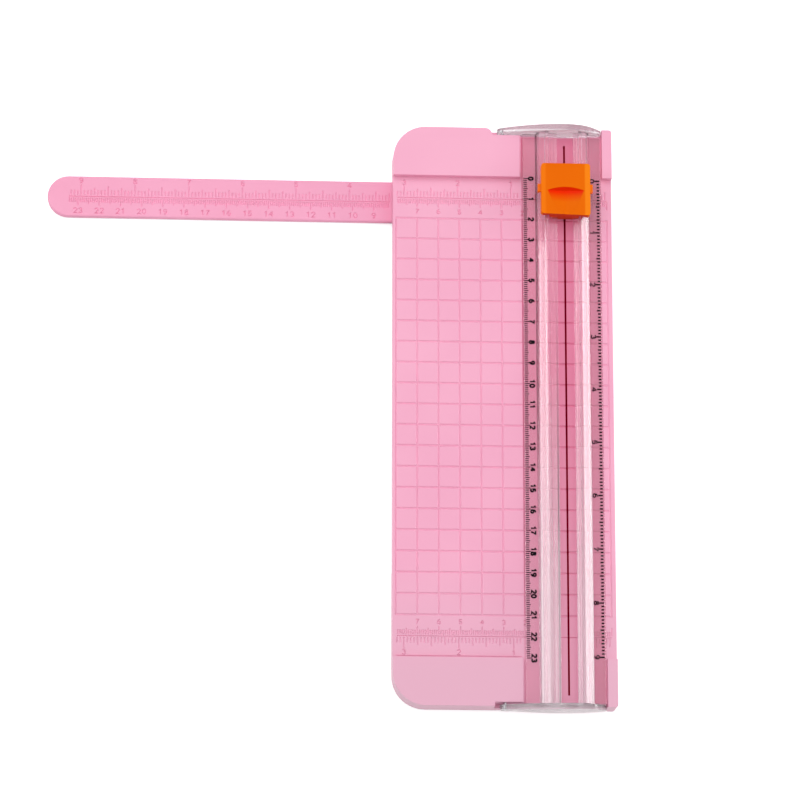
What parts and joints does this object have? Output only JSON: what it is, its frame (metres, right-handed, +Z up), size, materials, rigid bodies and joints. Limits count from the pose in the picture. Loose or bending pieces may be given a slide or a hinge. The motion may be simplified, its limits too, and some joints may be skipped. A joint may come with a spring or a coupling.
{
  "type": "paper trimmer",
  "caption": "Rail-guided paper trimmer: sliding press-down cutter on a hinged clear rail over a gridded bed, with a swing-out ruler arm under the base.",
  "frame": {"origin": "on the desk, under the cut line, halfway along the bed, at the middle foot's lower face", "axes": "+Y along the cut line towards the parked cutter, +X to the offcut side, +Z up"},
  "size_m": [0.2667, 0.2798, 0.0239],
  "materials": {
    "pink_plastic": "satin moulded plastic",
    "clear_plastic": "clear, polished",
    "orange_plastic": "satin moulded plastic",
    "red_plastic": "moulded plastic",
    "foot_rubber": "matt rubber",
    "screw_steel": "zinc plated",
    "pin_steel": "ground",
    "blade_steel": "ground edge",
    "spring_steel": "drawn wire"
  },
  "bodies": {
    "base": {"base_shell": "pink_plastic", "foot_rear_left": "foot_rubber", "foot_rear_right": "foot_rubber", "foot_front_left": "foot_rubber", "foot_front_right": "foot_rubber", "foot_middle": "foot_rubber", "arm_pivot_screw": "screw_steel", "arm_washer": "screw_steel", "hinge_pin_rear": "pin_steel", "hinge_pin_front": "pin_steel"},
    "arm": {"ruler_arm": "pink_plastic"},
    "rail": {"rail_strip_left": "clear_plastic", "rail_strip_right": "clear_plastic", "rail_end_rear": "clear_plastic", "rail_end_front": "clear_plastic"},
    "cutter": {"cutter_carriage": "orange_plastic", "carriage_shoe": "orange_plastic", "shoe_screws": "screw_steel", "press_spring_front": "spring_steel", "press_spring_rear": "spring_steel"},
    "blade_unit": {"cutter_cap": "orange_plastic", "blade_holder": "red_plastic", "blade": "blade_steel", "blade_rivets": "pin_steel"}
  },
  "joints": [
    {"name": "arm_swing", "type": "hinge", "parent": "base", "child": "arm", "pos_m": [-0.068, 0.105, 0.0022], "axis": [0, 0, 1], "range_deg": [0, 90]},
    {"name": "rail_hinge", "type": "hinge", "parent": "base", "child": "rail", "pos_m": [-0.0295, 0, 0.011], "axis": [0, -1, 0], "range_deg": [0, 80]},
    {"name": "cutter_slide", "type": "slide", "parent": "rail", "child": "cutter", "axis": [0, -1, 0], "range_m": [-0.015, 0.2285]},
    {"name": "blade_press", "type": "slide", "parent": "cutter", "child": "blade_unit", "axis": [0, 0, -1], "range_m": [0, 0.002], "stiffness_N_per_m": 300, "springref_m": -0.001, "deforming": ["press_spring_front", "press_spring_rear"]}
  ]
}
